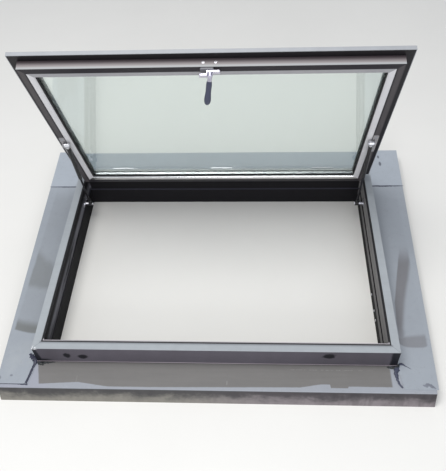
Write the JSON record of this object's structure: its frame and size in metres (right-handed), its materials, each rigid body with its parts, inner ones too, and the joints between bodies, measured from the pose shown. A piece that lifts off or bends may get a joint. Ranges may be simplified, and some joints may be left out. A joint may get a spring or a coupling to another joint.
{
  "type": "roof skylight",
  "caption": "Top-hung roof skylight with a double-glazed aluminium lid on gas springs, a latch handle and a sheet flashing kit.",
  "frame": {"origin": "under the middle of the flashing, level with the foot of the frame", "axes": "+X to the right seen from the eave, +Y up the slope, +Z out of the roof"},
  "size_m": [1.58, 1.237, 0.9583],
  "materials": {
    "dark_paint": "painted dark bronze, satin",
    "grey_sheet": "painted pale grey, weathered",
    "grey_cover": "satin",
    "grey_bead": "satin",
    "black_rubber": "matte",
    "bare_aluminium": "mill",
    "clear_glass": "clear",
    "zinc_steel": "zinc plated",
    "silver_metal": "satin",
    "polished_rod": "polished",
    "tube_paint": "satin",
    "black_plastic": "matte",
    "grey_plastic": "satin",
    "slate_plastic": "satin"
  },
  "bodies": {
    "frame": {"frame_sill": "dark_paint", "frame_left": "dark_paint", "frame_right": "dark_paint", "frame_head": "dark_paint", "frame_cleats": "bare_aluminium", "frame_seal": "black_rubber", "jamb_screws": "zinc_steel", "keeper": "zinc_steel", "keeper_screws": "zinc_steel", "apron": "grey_sheet", "left_flashing": "grey_sheet", "right_flashing": "grey_sheet", "head_flashing": "grey_sheet", "sealant": "black_rubber", "hinge_frame_leaves": "zinc_steel", "hinge_pins": "zinc_steel", "frame_leaf_screws": "zinc_steel", "left_frame_stud": "zinc_steel", "right_frame_stud": "zinc_steel"},
    "lid": {"lid_free_rail": "dark_paint", "lid_head_rail": "dark_paint", "lid_left_stile": "dark_paint", "lid_right_stile": "dark_paint", "lid_free_cover": "grey_cover", "lid_head_cover": "grey_cover", "lid_left_cover": "grey_cover", "lid_right_cover": "grey_cover", "bead_free": "grey_bead", "bead_head": "grey_bead", "bead_left": "grey_bead", "bead_right": "grey_bead", "inner_gasket": "black_rubber", "outer_gasket": "black_rubber", "inner_pane": "clear_glass", "outer_pane": "clear_glass", "spacer": "bare_aluminium", "edge_seal": "black_rubber", "setting_blocks": "black_plastic", "lid_cleats": "bare_aluminium", "edge_screws": "zinc_steel", "hinge_lid_leaves": "zinc_steel", "lid_leaf_screws": "zinc_steel", "left_lid_bracket": "zinc_steel", "right_lid_bracket": "zinc_steel", "bracket_screws": "zinc_steel", "handle_base": "grey_plastic"},
    "handle": {"handle_spindle": "zinc_steel", "handle_cam": "zinc_steel", "handle_lever": "silver_metal", "handle_grip": "slate_plastic"},
    "left_rod_body": {"left_rod_eye": "black_plastic", "left_rod": "polished_rod"},
    "left_tube_body": {"left_tube": "tube_paint", "left_tube_eye": "black_plastic", "left_lid_stud": "zinc_steel"},
    "right_rod_body": {"right_rod_eye": "black_plastic", "right_rod": "polished_rod"},
    "right_tube_body": {"right_tube": "tube_paint", "right_tube_eye": "black_plastic", "right_lid_stud": "zinc_steel"}
  },
  "joints": [
    {"name": "lid_hinge", "type": "hinge", "parent": "frame", "child": "lid", "pos_m": [0, 0.3625, 0.164], "axis": [1, 0, 0], "range_deg": [0, 68.9]},
    {"name": "handle_turn", "type": "hinge", "parent": "lid", "child": "handle", "pos_m": [0.007, 0.0198, 0.90212], "axis": [0, 0.933, 0.36], "range_deg": [0, 82]},
    {"name": "left_rod_swing", "type": "hinge", "parent": "frame", "child": "left_rod_body", "pos_m": [-0.565, 0.2395, 0.105], "axis": [1, 0, 0], "range_deg": [0, 80.4]},
    {"name": "left_tube_slide", "type": "slide", "parent": "left_rod_body", "child": "left_tube_body", "axis": [0, 0.1669, -0.986], "range_m": [0, 0.14153]},
    {"name": "right_rod_swing", "type": "hinge", "parent": "frame", "child": "right_rod_body", "pos_m": [0.565, 0.2395, 0.105], "axis": [1, 0, 0], "range_deg": [0, 80.4]},
    {"name": "right_tube_slide", "type": "slide", "parent": "right_rod_body", "child": "right_tube_body", "axis": [0, 0.1669, -0.986], "range_m": [0, 0.14153]}
  ],
  "couplings": [
    {"joint": "left_rod_swing", "follows": "lid_hinge", "ratio": 1.1668},
    {"joint": "left_tube_slide", "follows": "lid_hinge", "m_per_rad": 0.11768},
    {"joint": "right_rod_swing", "follows": "lid_hinge", "ratio": 1.1668},
    {"joint": "right_tube_slide", "follows": "lid_hinge", "m_per_rad": 0.11768}
  ]
}
